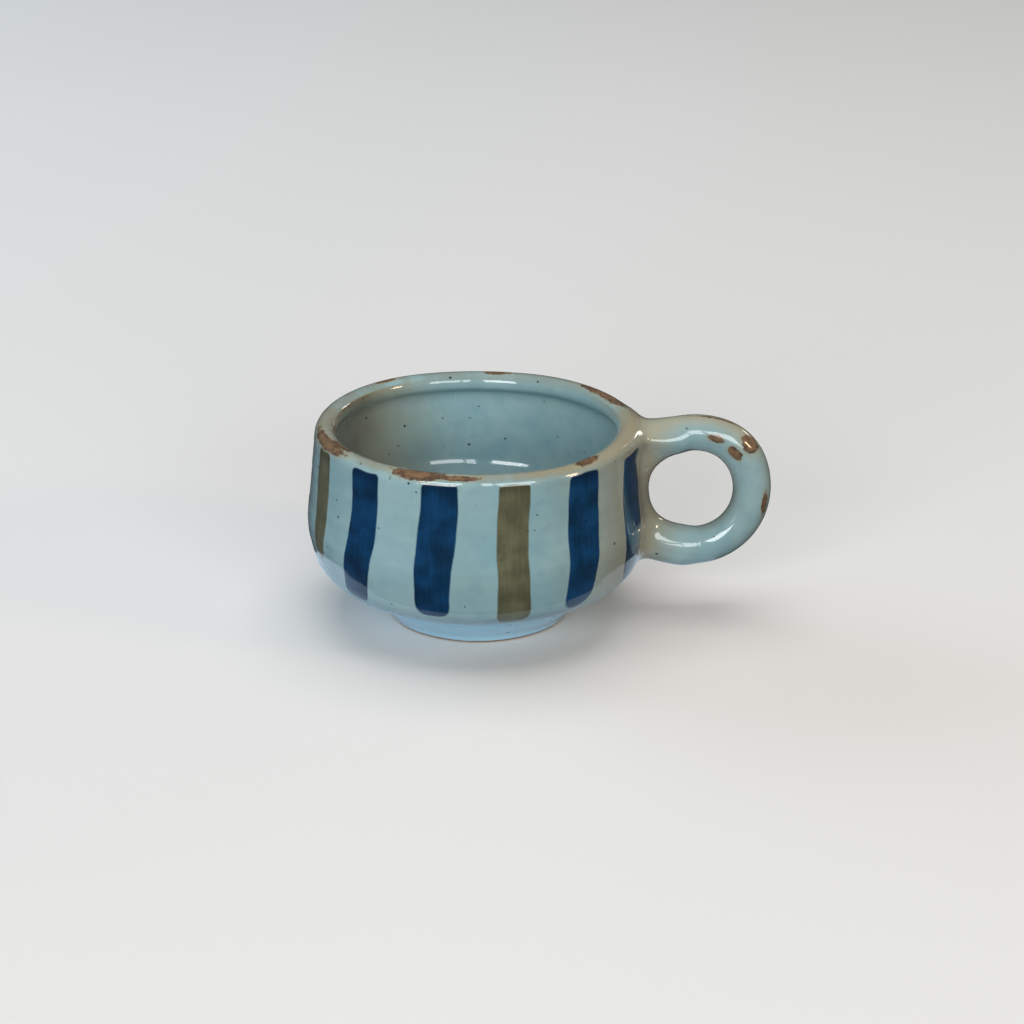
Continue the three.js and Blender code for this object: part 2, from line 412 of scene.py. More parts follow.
def by_hand(points):
    """The unevenness of a thrown and handled pot, the same for every piece, so that they stay joined."""
    x, y, z = points.T
    around = np.arctan2(y, x)
    radius = np.hypot(x, y)
    on_bowl = 1 - ease(LIP_RADIUS + 1, LIP_RADIUS + 13, radius)
    height = ease(CREASE, RIM, z)
    oval = -height * (NARROWER_TO_THE_BACK * np.sin(around) ** 2 + NARROWER_ACROSS * np.cos(around) ** 2)
    swell = waves(around, ((0.3, 2, 0.7 + z / 30), (0.18, 3, 2.1), (0.1, 5, z / 9))) * height
    wide_rings = (THROWING_DEPTH, 1, FULL_TURN * z / WIDE_THROWING_RINGS)
    fine_rings = (THROWING_DEPTH, -1, FULL_TURN * z / FINE_THROWING_RINGS)
    thrown = waves(around, (wide_rings, fine_rings))
    dents = waves(around, ((0.06, 7, z / 9),)) * np.sin(z / 12 + 1)
    outward = on_bowl * (oval + swell + thrown + dents) / np.maximum(radius, 1)
    hollow = in_the_cup(radius, z) * (1 - ease(FLOOR + 5, FLOOR + 25, z))
    lean = on_bowl * (CUP_LEAN * hollow - WALL_LEAN * ease(CREASE, CREASE + 20, z))
    lift = on_bowl * ease(RIM - 25, RIM, z) * rim_lift(around)
    on_ring = ease(LIP_RADIUS + 3, LIP_RADIUS + 16, x)
    sway = on_ring * RING_SWAY * np.sin((z - RING_Z) / SWAY_LENGTH)
    return np.stack([x + x * outward + lean, y + y * outward + sway, z + lift], axis=1)


# How far from a point the surface is felt for, to find its slope, in millimetres
SLOPE_REACH = 0.35
SHORT_REACH = 0.1


def smooth_normals(points):
    """Normals of the blended surface, as by_hand leaves them, so that joined pieces shade alike."""
    slope = np.zeros_like(points)
    for axis in range(3):
        shift = np.zeros(3)
        shift[axis] = SLOPE_REACH
        slope[:, axis] = mug_field(points + shift, 0) - mug_field(points - shift, 0)
    slope = unit(slope)
    steep = np.abs(slope[:, 2:]) < 0.8
    first = unit(np.cross(slope, np.where(steep, (0, 0, 1), (1, 0, 0))))
    second = np.cross(slope, first)
    placed = by_hand(points)
    one_way = by_hand(points + SHORT_REACH * first) - placed
    other_way = by_hand(points + SHORT_REACH * second) - placed
    return unit(np.cross(one_way, other_way))


# ---------------------------------------------------------------- meshes

def grid_normals(grid, wrap_rows):
    """Normals of a grid of points whose columns close into rings; they may all point inwards."""
    if wrap_rows:
        down = np.roll(grid, -1, axis=0) - np.roll(grid, 1, axis=0)
    else:
        down = np.gradient(grid, axis=0)
    along = np.roll(grid, -1, axis=1) - np.roll(grid, 1, axis=1)
    return unit(np.cross(along, down))


def grid_faces(rows, columns, wrap_rows, wrap_columns):
    """The four-sided faces of a grid of points, which may close round either way."""
    row = np.arange(rows if wrap_rows else rows - 1)
    column = np.arange(columns if wrap_columns else columns - 1)
    row, column = [part.ravel() for part in np.meshgrid(row, column, indexing="ij")]
    below = (row + 1) % rows
    beside = (column + 1) % columns
    upper = (row * columns + column, row * columns + beside)
    lower = (below * columns + beside, below * columns + column)
    return np.stack(upper + lower, axis=1).tolist()


def end_faces(rows, columns):
    """Fans that close the first and last ring onto two extra points, numbered after the grid's own."""
    first_tip = rows * columns
    last = (rows - 1) * columns
    fans = []
    for column in range(columns):
        beside = (column + 1) % columns
        fans.append((first_tip, beside, column))
        fans.append((first_tip + 1, last + column, last + beside))
    return fans


def face_outwards(mesh):
    """Turns every face of a closed mesh outwards."""
    shell = bmesh.new()
    shell.from_mesh(mesh)
    bmesh.ops.recalc_face_normals(shell, faces=shell.faces)
    shell.to_mesh(mesh)
    shell.free()


def piece(name, points, faces, finish, paint, replaced, shared=None):
    """A piece of the mug: its mesh placed in the frame, with its painted values, riding on the body.

    Where shared is above 0, the piece shades with the surface that it shares with its neighbours.
    """
    placed = by_hand(points)
    placed[:, 0] += AXIS_X
    mesh = bpy.data.meshes.new(name)
    mesh.from_pydata((placed * MM).tolist(), [], faces)
    face_outwards(mesh)
    for label, values in paint.items():
        layer = mesh.attributes.new(label, "FLOAT", "POINT")
        layer.data.foreach_set("value", np.asarray(values, np.float32))
    mesh.polygons.foreach_set("use_smooth", [True] * len(mesh.polygons))
    if shared is not None:
        own = np.zeros(3 * len(points), np.float32)
        mesh.vertices.foreach_get("normal", own)
        own = own.reshape(-1, 3)
        where = shared > 0
        share = shared[where, None]
        own[where] = own[where] * (1 - share) + smooth_normals(points[where]) * share
        mesh.normals_split_custom_set_from_vertices(own.tolist())
    mesh.materials.append(finish)
    made = bpy.data.objects.new(name, mesh)
    bpy.context.scene.collection.objects.link(made)
    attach(made, "root")
    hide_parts(*replaced)


def near_joint(points):
    """1 where handle and wall run into each other, 0 away from there."""
    apart = np.abs(wall_distance(points)) + np.abs(handle_distance(points))
    on_skin = 1 - ease(0.3, 0.8, np.abs(mug_field(points, 0)))
    return (1 - ease(WALL_BLEND, 1.8 * WALL_BLEND, apart)) * on_skin


def turned_grid(outline, around):
    """Rings of points about the axis from an outline of (radius, height)."""
    grid = np.zeros((len(outline), len(around), 3))
    grid[:, :, 0] = outline[:, :1] * np.cos(around)
    grid[:, :, 1] = outline[:, :1] * np.sin(around)
    grid[:, :, 2] = outline[:, 1:]
    return grid


def close_ends(grid):
    """The grid's points, with the middle of its first and last ring after them, and all its faces."""
    rows, columns = grid.shape[:2]
    points = grid.reshape(-1, 3)
    tips = np.stack([grid[0].mean(axis=0), grid[-1].mean(axis=0)])
    faces = grid_faces(rows, columns, False, True) + end_faces(rows, columns)
    return np.vstack([points, tips]), faces


def angles_round():
    """Angles about the axis, close together beside the handle."""
    beside = np.linspace(-HANDLE_SECTOR, HANDLE_SECTOR, FINE_COLUMNS, endpoint=False)
    rest = np.linspace(HANDLE_SECTOR, FULL_TURN - HANDLE_SECTOR, COARSE_COLUMNS, endpoint=False)
    return np.concatenate([beside, rest])


# ---------------------------------------------------------------- what is painted on the glaze

# Where it breaks to iron brown on the lip: degrees from the front, half length in degrees, turn over the lip
# (0 is outside, 90 the crown, 180 inside), half width in millimetres
LIP_BREAKS = [
    (-70, 19, 52, 2.2),
    (-62, 9, 108, 2.4),
    (-78, 18, 158, 2.2),
    (148, 30, 66, 0.5),
    (-141, 9, 66, 0.6),
    (-21, 12.5, 69, 2.6),
    (-7, 12, 58, 1.2),
    (46, 7.5, 84, 2.1),
    (35, 12, 132, 0.8),
    (118, 19, 86, 2.3),
    (172, 7, 98, 1.1),
    (-141, 7, 92, 1.0),
    (-162, 6, 40, 0.8),
]
# And on the handle: degrees up around the ring from its far end, degrees around the coil from its outside
# (towards the front is less than 0), half length and half width in millimetres
HANDLE_BREAKS = [
    (70, -80, 2.9, 1.5),
    (42, -38, 3.6, 3.2),
    (47, -90, 3.2, 1.9),
    (-8, -46, 3.6, 1.4),
    (72, -4, 8, 0.6),
    (52, 40, 4, 2.2),
    (-40, 96, 3, 1.4),
    (12, 130, 2.6, 1.6),
]
NO_BREAK = -3.0  # well below any value at which the glaze turns brown

# Painted light, painted shade and slow changes of the glaze's tint: degrees from the front, and how many
# degrees they spread
# painted warm light on the outer wall at the right
RIGHT_SIDE = (70, 40)
# painted shade on the inner wall at the right
RIGHT_INSIDE = (100, 25)
# painted shade on the inner wall at the left
LEFT_INSIDE = (-98, 54)
LEFT_LIP = (-90, 40)
NEAR_SIDE = (0, 70)
# painted light on the outer wall at the front left
FRONT_LEFT = (-30, 22)
# Where the glaze runs thin over the lip: degrees over it, and their spread
THIN_OUTER_EDGE = (52, 24)
THIN_CROWN = (92, 34)
THIN_INNER_EDGE = (140, 26)


def bowl_paint(points):
    """Where the glaze on these points breaks to iron, runs thin, is darker along the crease and turns
    warmer, and where painted shade, painted light and painted warm light go on it.
    """
    radius = np.hypot(points[:, 0], points[:, 1])
    height = points[:, 2]
    from_front = np.degrees(np.arctan2(points[:, 1], points[:, 0])) + 90
    across = (radius - LIP_MIDDLE[0]) / LIP_HALF_WIDTH
    up = (height - LIP_MIDDLE[1]) / LIP_ROLL
    turn = np.degrees(np.arctan2(up, across))
    near_lip = 1 - ease(1.02, 1.5, np.hypot(across, up))
    iron = np.full(len(points), NO_BREAK)
    for middle, half_length, over, half_width in LIP_BREAKS:
        sideways = turned(from_front - middle)
        over_lip = np.radians(turn - over) * LIP_ROLL
        iron = np.maximum(iron, 1 - np.hypot(sideways / half_length, over_lip / half_width))
    iron[near_lip < 0.5] = NO_BREAK

    def facing(middle, spread):
        """1 on the side that faces this many degrees from the front, falling to 0 away from it."""
        return hump(turned(from_front - middle), 0, spread)

    inner = in_the_cup(radius, height) & (height < RIM - 1)
    # Painted shade: a dark band inside the cup under the overhanging lip
    under_lip = 1.4 * hump(height, RIM - 5.8, 1.0) * inner
    crease = hump(height, CREASE, 1.6) * (radius > CREASE_RADIUS - 2)
    thin_edges = hump(turn, *THIN_OUTER_EDGE) + hump(turn, *THIN_CROWN) + 0.7 * hump(turn, *THIN_INNER_EDGE)
    off_wall = ease(BELLY, BELLY + 13, radius)
    # Painted warm light on the outer wall at the right
    right_side = facing(*RIGHT_SIDE) * ~inner * (1 - 0.6 * off_wall)
    up_the_wall = inner * ease(16, 41, radius)
    # Painted shade on the inner wall, at the left and, weaker, at the right
    left_inside = 1.25 * facing(*LEFT_INSIDE) * up_the_wall
    right_inside = facing(*RIGHT_INSIDE) * up_the_wall
    left_lip = near_lip * facing(*LEFT_LIP)
    near_side = near_lip * facing(*NEAR_SIDE) * hump(turn, 100, 55)
    by_handle = hump(points[:, 0], LIP_RADIUS + 1.5, 3) * hump(points[:, 1], 0, 7)
    # Painted light on the outer wall at the front left, and on the cup's floor below
    front_left = facing(*FRONT_LEFT) * ~inner
    bottom = inner * (1 - ease(FLOOR + 2, FLOOR + 16, height))
    return {
        "iron": iron,
        # painted shade under the lip and on the inner wall at the right, and darker along the crease
        "pooled_and_shaded": under_lip + 0.7 * crease + right_inside,
        "thin": near_lip * thin_edges,
        # painted warm light on the right side, and warmer tints on the lip, by the handle and over its top
        "warm": np.clip(0.8 * right_side + 0.5 * left_lip + 0.5 * near_side + 0.6 * by_handle, 0, 1),
        # painted shade inside the cup, olive and then umber
        "deep": np.clip(left_inside + 0.5 * right_inside, 0, 1),
        # painted light at the front left and on the cup's floor
        "pale": np.clip(0.6 * front_left + bottom, 0, 1),
    }


def around_coil(points):
    """Degrees up around the ring from its far end, and degrees around the coil from its outside."""
    turn = np.arctan2(points[:, 2] - RING_Z, points[:, 0] - RING_X)
    outward = np.hypot(points[:, 2] - RING_Z, points[:, 0] - RING_X) - RING_RADIUS
    return np.degrees(turn), np.degrees(np.arctan2(points[:, 1], outward))


def handle_breaks(points):
    """Where the glaze on the handle breaks to iron: above 0 in a break, 1 at its middle."""
    turn, section = around_coil(points)
    shade = np.full(len(points), NO_BREAK)
    for up, over, half_length, half_width in HANDLE_BREAKS:
        along = np.radians(turned(turn - up)) * RING_RADIUS
        across = np.radians(turned(section - over)) * COIL
        shade = np.maximum(shade, 1 - np.hypot(along / half_length, across / half_width))
    return shade


def handle_paint(points):
    """The same as on the bowl, with the handle's own breaks, warm over its top and thin along its hole."""
    paint = bowl_paint(points)
    paint["iron"] = np.maximum(paint["iron"], handle_breaks(points))
    turn, section = around_coil(points)
    outer_top = hump(turned(section), 0, 46) * hump(turn, 75, 60)
    paint["warm"] = np.clip(paint["warm"] + 0.7 * outer_top, 0, 1)
    inner_edge = hump(turned(section - 180), 0, 35)
    paint["thin"] = np.maximum(paint["thin"], 0.8 * inner_edge)
    return paint


# ---------------------------------------------------------------- pieces

def make_bowl(finish):
    """The thrown bowl: out along its underside, up the wall, over the lip and down to the cup's floor."""
    flat = np.array([(AXIS_GAP, CREASE), (CREASE_RADIUS - 1.4, CREASE), WALL[0]])
    underside = respace(flat, UNDERSIDE_SPACING)
    inside = spline(INSIDE, INSIDE_SPACING)
    outline = np.vstack([underside[:-1], OUTSIDE, lip_arc(90, 180)[1:], inside[1:]])
    grid = turned_grid(outline, angles_round())
    normals = grid_normals(grid, False)
    seated = seat_on_wall(grid.reshape(-1, 3), normals.reshape(-1, 3))
    points, faces = close_ends(seated.reshape(grid.shape))
    tips = grid[[0, -1]].mean(axis=1)
    paint = bowl_paint(np.vstack([grid.reshape(-1, 3), tips]))
    shared = near_joint(points) * (np.hypot(points[:, 0], points[:, 1]) > LIP_MIDDLE[0] + 1)
    piece("bowl", points, faces, finish, paint, ["bowl"], shared)


STANDING_RADIUS = CREASE_RADIUS - 10.4
FOOT_TOP = CREASE + 0.25  # the foot's top is hidden just inside the bowl


def make_foot(finish):
    """The turned foot: down its hollow, across the flat standing edge, and up its outside."""
    hollow = [
        (CREASE_RADIUS - 18.6, FOOT_TOP),
        (CREASE_RADIUS - 18, CREASE - 4),
        (STANDING_RADIUS - 6.2, 0.9),
        (STANDING_RADIUS - 5.5, 0.15),
    ]
    standing = [(STANDING_RADIUS - 4.9, 0), (STANDING_RADIUS - 1.2, 0)]
    outside = [
        (STANDING_RADIUS - 0.5, 0.2),
        (STANDING_RADIUS + 0.1, 0.9),
        (STANDING_RADIUS + 1.6, 3),
        (STANDING_RADIUS + 5.4, 6.8),
        (CREASE_RADIUS - 2.6, CREASE - 1.6),
        (CREASE_RADIUS - 1.7, FOOT_TOP),
    ]
    outline = np.vstack([
        spline(hollow, STANDING_SPACING),
        spline(standing, STANDING_SPACING),
        spline(outside, OUTSIDE_SPACING),
    ])
    grid = turned_grid(outline, np.linspace(0, FULL_TURN, FOOT_COLUMNS, endpoint=False))
    points = grid.reshape(-1, 3)
    faces = grid_faces(*grid.shape[:2], True, True)
    height = points[:, 2]
    paint = {
        "bare": 1 - ease(0.35, 1.1, height),
        # darker along the crease at the foot's top
        "pooled_and_shaded": hump(height, CREASE, 1.8),
        "iron": np.full(len(points), NO_BREAK),
    }
    piece("foot_ring", points, faces, finish, paint, ["foot_ring"])


def away_from(middle, grid, normals):
    """The normals, turned round if they point towards the middle of the piece."""
    return normals if (normals * (grid - middle)).sum() >= 0 else -normals


def make_ring(finish):
    """The handle's ring, an uneven coil of clay, run into the wall and its joints."""
    turn = np.linspace(0, FULL_TURN, RING_ROWS, endpoint=False)[:, None]
    section = np.linspace(0, FULL_TURN, RING_COLUMNS, endpoint=False)[None, :]
    reach = ring_middle(turn) + coil_half(turn) * np.cos(section)
    grid = np.stack([RING_X + reach * np.cos(turn), -COIL * np.sin(section) + 0 * turn,
                     RING_Z + reach * np.sin(turn)], axis=2)
    middle = np.stack([RING_X + RING_RADIUS * np.cos(turn) + 0 * section, 0 * reach,
                       RING_Z + RING_RADIUS * np.sin(turn) + 0 * section], axis=2)
    normals = away_from(middle, grid, grid_normals(grid, True))
    points = seat_handle(grid.reshape(-1, 3), normals.reshape(-1, 3))
    paint = handle_paint(points)
    faces = grid_faces(*grid.shape[:2], True, True)
    shared = near_joint(points)
    piece("handle_ring", points, faces, finish, paint, ["handle_ring"], shared)


def make_web(name, web, finish):
    """A joint of clay between the wall and the ring, run into both."""
    grid = web.surface(WEB_ROWS, WEB_COLUMNS)
    normals = away_from(grid.mean(axis=(0, 1)), grid, grid_normals(grid, False))
    settled = seat_handle(grid.reshape(-1, 3), normals.reshape(-1, 3)).reshape(grid.shape)
    points, faces = close_ends(settled)
    paint = handle_paint(points)
    piece(name, points, faces, finish, paint, [name], near_joint(points))


Stroke = namedtuple("Stroke", "degrees drop widths stray foot slant")
# Strokes, going round from the handle: degrees from the front; how far they start below the others; widths
# at the top, middle and foot; how far the middle and the foot stray sideways; height and slant of the foot
STROKES = [Stroke(*row) for row in (
    (71.2, 2.2, (10.9, 13.2, 12.4), (-2.9, -1.7), 18, 0.1),
    (41.3, 0, (11.5, 11.7, 9.8), (-1.6, -3.6), 17.6, 0.12),
    (14, 0, (9.9, 9.9, 10.4), (-0.9, -1.0), 15, 0.03),
    (-12, 0, (11.3, 11.8, 10.6), (-1.2, -3.2), 17.4, -0.08),
    (-41.3, 0, (10.9, 10.6, 10.4), (-0.6, -5), 16.5, -0.12),
    (-67, 0, (7.8, 9, 4), (1, 1), 24, -0.1),
    (-97.5, 0.3, (11, 11.6, 11.2), (0.5, 0.8), 17, 0.05),
    (-128, 0, (10.8, 11.4, 10.6), (-0.6, -1), 16.5, -0.06),
    (-158.5, 0.4, (9.8, 10.2, 9.6), (0.4, 0.5), 15.5, 0.04),
    (171, 0, (11.4, 11.8, 11), (0.6, 1.4), 17, 0.08),
    (140.5, 0.2, (11.2, 11, 10.8), (-0.8, -1.2), 17.5, -0.05),
    (110, 1.5, (9, 9.6, 9), (0.4, 0.6), 19, 0.1),
)]
STROKE_TOP = RIM - 2.1
SKIN_ABOVE = 1.2  # how far a stroke's skin runs up past its slip
STROKE_MARGIN = 2.4  # bare glaze beside and below the slip, on the same skin
SKIN_LIFT = 0.03  # the skin's height over the wall
STROKE_LIFT = 0.06  # and how much more of it the slip adds
STROKE_ROOT = 0.7  # how deep the back of the skin lies in the wall
TUCK_DEPTH = 0.25  # how far the skin's border is tucked into the wall
TUCK_SHARE = 0.12  # of the skin's width, over which it comes up from there
TUCK_ROWS = 2.5  # the same at its top and foot, in rows
TOP_CORNERS = 1.5  # rounding of the slip's corners
FOOT_CORNERS = 5
WAVER = 0.22  # slow wavering of the slip's sides
QUICK_WAVER = 0.07


def bend(values, share):
    """A smooth run through three values at shares 0, 0.5 and 1."""
    first, middle, last = values
    ends = first * (1 - share) * (1 - 2 * share) + last * share * (2 * share - 1)
    return ends + 4 * middle * share * (1 - share)


def slip_edge(stroke, number, across, height):
    """How far inside the brushed slip a point is, in millimetres, less than 0 outside it."""
    share = np.clip((STROKE_TOP - height) / (STROKE_TOP - stroke.foot), 0, 1.1)
    middle = bend((0, *stroke.stray), share)
    left_wave = WAVER * np.sin(height / 4.6 + number) + QUICK_WAVER * np.sin(height / 1.9 + 2 * number)
    right_wave = WAVER * np.sin(height / 5.3 + 1.7 * number) + QUICK_WAVER * np.sin(height / 1.7 + number)
    half = bend(stroke.widths, share) / 2
    right = middle + half + right_wave - across
    left = across - (middle - half + left_wave)
    top = STROKE_TOP - stroke.drop + 0.12 * np.sin(across * 0.8 + number) - height
    low = height - stroke.foot - stroke.slant * across - 0.2 * np.sin(across * 0.7 + number)
    sides = np.minimum(left, right)
    return soft_min(soft_min(sides, top, TOP_CORNERS), low, FOOT_CORNERS)


def from_edge(count):
    """How many rows or columns each one is from the nearer end."""
    place = np.arange(count)
    return np.minimum(place, count - 1 - place)


def border_of(rows, columns):
    """The numbers of the points around the border of a grid, in order."""
    top = list(range(columns - 1))
    right = [row * columns + columns - 1 for row in range(rows - 1)]
    foot = [(rows - 1) * columns + column for column in range(columns - 1, 0, -1)]
    left = [row * columns for row in range(rows - 1, 0, -1)]
    return top + right + foot + left


def make_stroke(name, number, stroke, finish):
    """A thin skin over the wall that carries one stroke of slip, with bare glaze round it."""
    run = distance_along(OUTSIDE)
    lowest = np.interp(stroke.foot - STROKE_MARGIN, OUTSIDE[:, 1], run)
    highest = np.interp(STROKE_TOP + SKIN_ABOVE, OUTSIDE[:, 1], run)
    outline = points_along(OUTSIDE, np.linspace(highest, lowest, STROKE_ROWS))
    reach = max(stroke.widths) / 2 + max(abs(value) for value in stroke.stray) + STROKE_MARGIN
    across = np.linspace(-reach, reach, STROKE_COLUMNS)
    radius = outline[:, :1]
    around = np.radians(stroke.degrees - 90) + across[None, :] / BELLY
    grid = np.stack([radius * np.cos(around), radius * np.sin(around), outline[:, 1:] + 0 * around], axis=2)
    slope = np.gradient(outline, axis=0)
    lean = unit(np.stack([-slope[:, 1], slope[:, 0]], axis=1))
    outward, upward = lean[:, :1], lean[:, 1:]
    normals = np.stack([outward * np.cos(around), outward * np.sin(around), upward + 0 * around], axis=2)
    seated = seat_on_wall(grid.reshape(-1, 3), normals.reshape(-1, 3)).reshape(grid.shape)
    travelled = across[None, :] * radius / BELLY
    edge = slip_edge(stroke, number, travelled, grid[:, :, 2])
    rows, columns = edge.shape
    from_side = from_edge(columns)[None, :] / (TUCK_SHARE * columns)
    from_end = from_edge(rows)[:, None] / TUCK_ROWS
    tuck = ease(0, 1, np.minimum(from_side, from_end))
    lift = STROKE_LIFT * ease(-0.8, 0.6, edge) + SKIN_LIFT - TUCK_DEPTH * (1 - tuck)
    face = seated + normals * lift[:, :, None]
    back = seated - normals * STROKE_ROOT
    points = np.vstack([face.reshape(-1, 3), back.reshape(-1, 3)])
    front_faces = grid_faces(rows, columns, False, False)
    behind = rows * columns
    back_faces = [tuple(behind + corner for corner in reversed(quad)) for quad in front_faces]
    border = border_of(rows, columns)
    following = border[1:] + border[:1]
    sides = [(here, behind + here, behind + after, after) for here, after in zip(border, following)]
    below_top = STROKE_TOP - grid[:, :, 2]
    paint = bowl_paint(np.vstack([grid.reshape(-1, 3), grid.reshape(-1, 3)]))
    paint["inside"] = np.tile(edge.ravel(), 2)
    paint["below_top"] = np.tile(below_top.ravel(), 2)
    paint["across"] = np.tile(travelled.ravel(), 2)
    piece(name, points, front_faces + back_faces + sides, finish, paint, [name])


# ---------------------------------------------------------------- finishes

def linear(part):
    """One part of a screen colour, 0 to 1, as an amount of light, by the standard curve."""
    return part / 12.92 if part <= 0.04045 else ((part + 0.055) / 1.055) ** 2.4


def colour(code):
    """A colour from its hexadecimal code, as the shader's numbers."""
    return tuple(linear(int(code[k:k + 2], 16) / 255) for k in (1, 3, 5)) + (1,)


GLAZE_BLUE = colour("#77989f")
GLAZE_GREEN = colour("#7f9a9c")
GLAZE_MILKY = colour("#91aaad")
GLAZE_MOTTLED = colour("#688b95")
# Colour of painted light
PAINTED_LIGHT_PALE = colour("#9fbcc0")
# Darker glaze colour, for painted shade and for the crease
GLAZE_POOLED_AND_SHADED = colour("#4d6f73")
GLAZE_THIN = colour("#757a6f")
# Warmer tint, and the colour of painted warm light
WARM_TINT_AND_LIGHT = colour("#93886d")
# Colours of painted shade inside the cup
SHADE_OLIVE = colour("#7b7965")
SHADE_UMBER = colour("#50442f")
GLAZE_ON_FOOT = colour("#9cc2d3")
BREAK_DARK = colour("#423025")
BREAK_RUSTY = colour("#6a503a")
BREAK_LIGHT = colour("#7f6244")
BREAK_HALO = colour("#8d8a72")
SPECK_FAINT = colour("#5d5f54")
SPECK_SMALL = colour("#454a48")
SPECK_MIDDLING = colour("#343a3a")
SPECK_LARGE = colour("#272c2f")
CLAY_DARK = colour("#6f5138")
CLAY_LIGHT = colour("#94724f")
# Slips: full, thin and pooled
COBALT = (colour("#05263f"), colour("#0c3a5f"), colour("#031b33"))
IRON = (colour("#4b4a38"), colour("#605f4b"), colour("#3d3a28"))
# The floor and the stand: between these two shades
PALE_FLOOR = (colour("#c8c6c3"), colour("#cecdcb"))
COOL_STAND = (colour("#b0bfcc"), colour("#b8c6d2"))


class Value:
    """A shader socket that can be added, multiplied and compared like a number."""

    def __init__(self, finish, socket):
        self.finish = finish
        self.socket = socket

    def maths(self, operation, *others):
        sources = dict(enumerate(others))
        return self.finish.node("ShaderNodeMath", {"operation": operation}, sources)

    def __add__(self, other):
        return self.maths("ADD", self, other)

    def __radd__(self, other):
        return self.maths("ADD", other, self)

    def __sub__(self, other):
        return self.maths("SUBTRACT", self, other)

    def __rsub__(self, other):
        return self.maths("SUBTRACT", other, self)

    def __mul__(self, other):
        return self.maths("MULTIPLY", self, other)

    def __rmul__(self, other):
        return self.maths("MULTIPLY", other, self)

    def __gt__(self, other):
        return self.maths("GREATER_THAN", self, other)


class Finish:
    """A finish being mixed: a material, its nodes and its shader."""

    def __init__(self, name):
        self.material = bpy.data.materials.new(name)
        self.material.use_nodes = True
        self.tree = self.material.node_tree
        self.shader = self.tree.nodes["Principled BSDF"]
        self.place = self.node("ShaderNodeTexCoord", output="Object")

    def node(self, kind, settings=None, inputs=None, output=0):
        """A node of this kind with its settings, then its inputs' values or links; gives one output."""
        made = self.tree.nodes.new(kind)
        for key, setting in (settings or {}).items():
            setattr(made, key, setting)
        for key, source in (inputs or {}).items():
            self.plug(self.find(made.inputs, key), source)
        return Value(self, self.find(made.outputs, output))

    def find(self, sockets, key):
        """The socket with this number, name or identifier."""
        if isinstance(key, int):
            return sockets[key]
        return next(socket for socket in sockets if key in (socket.identifier, socket.name))

    def plug(self, socket, source):
        """Links a value to a socket, or sets a plain number or colour on it."""
        if isinstance(source, Value):
            self.tree.links.new(source.socket, socket)
        else:
            socket.default_value = source

    def set(self, **sources):
        """Sets or links sockets of the shader."""
        for key, source in sources.items():
            self.plug(self.shader.inputs[key.replace("_", " ")], source)

    def painted(self, label):
        """The values painted on the mesh under this label."""
        return self.node("ShaderNodeAttribute", {"attribute_name": label}, output="Fac")

    def clouds(self, size, seed, detail=2):
        """Soft noise about 0.5, with blotches of about this many millimetres."""
        inputs = {"Vector": self.place, "W": seed, "Scale": 1 / (size * MM), "Detail": detail}
        return self.node("ShaderNodeTexNoise", {"noise_dimensions": "4D"}, inputs)

    def step(self, value, low, high):
        """0 below low and 1 above high, smooth between."""
        inputs = {"Value": value, "From Min": low, "From Max": high}
        return self.node("ShaderNodeMapRange", {"interpolation_type": "SMOOTHSTEP"}, inputs)

    def mix(self, share, first, second):
        """The first colour at a share of 0, the second at 1."""
        inputs = {"Factor_Float": share, "A_Color": first, "B_Color": second}
        return self.node("ShaderNodeMix", {"data_type": "RGBA"}, inputs, "Result_Color")

    def dots(self, spacing, radius, chance, seed):
        """Scattered round specks, in this share of cells of this spacing: 1 in a speck, 0 outside."""
        shift = (seed, 2 * seed, -seed)
        moved = self.node("ShaderNodeVectorMath", {"operation": "ADD"}, {0: self.place, 1: shift})
        cells = {"Vector": moved, "Scale": 1 / (spacing * MM)}
        distance = self.node("ShaderNodeTexVoronoi", {}, cells, "Distance")
        lottery = self.node("ShaderNodeTexVoronoi", {}, cells, "Color")
        drawn = self.node("ShaderNodeSeparateColor", {}, {"Color": lottery}, "Red")
        edge = radius / spacing
        return (1 - self.step(distance, 0.6 * edge, edge)) * (drawn > 1 - chance)

    def bump(self, height, depth):
        """A bumped normal: height 0 to 1 stands for this many millimetres."""
        return self.node("ShaderNodeBump", {}, {"Height": height, "Distance": depth * MM}, "Normal")


COAT_ROUGHNESS = 0.04
GLAZE_ROUGHNESS = 0.16
GLAZE_SPECULAR = 0.15
GLASS_IOR = 1.5
SKIN_DEPTH = 0.12  # how deep the unevenness of the glaze's skin is, in millimetres


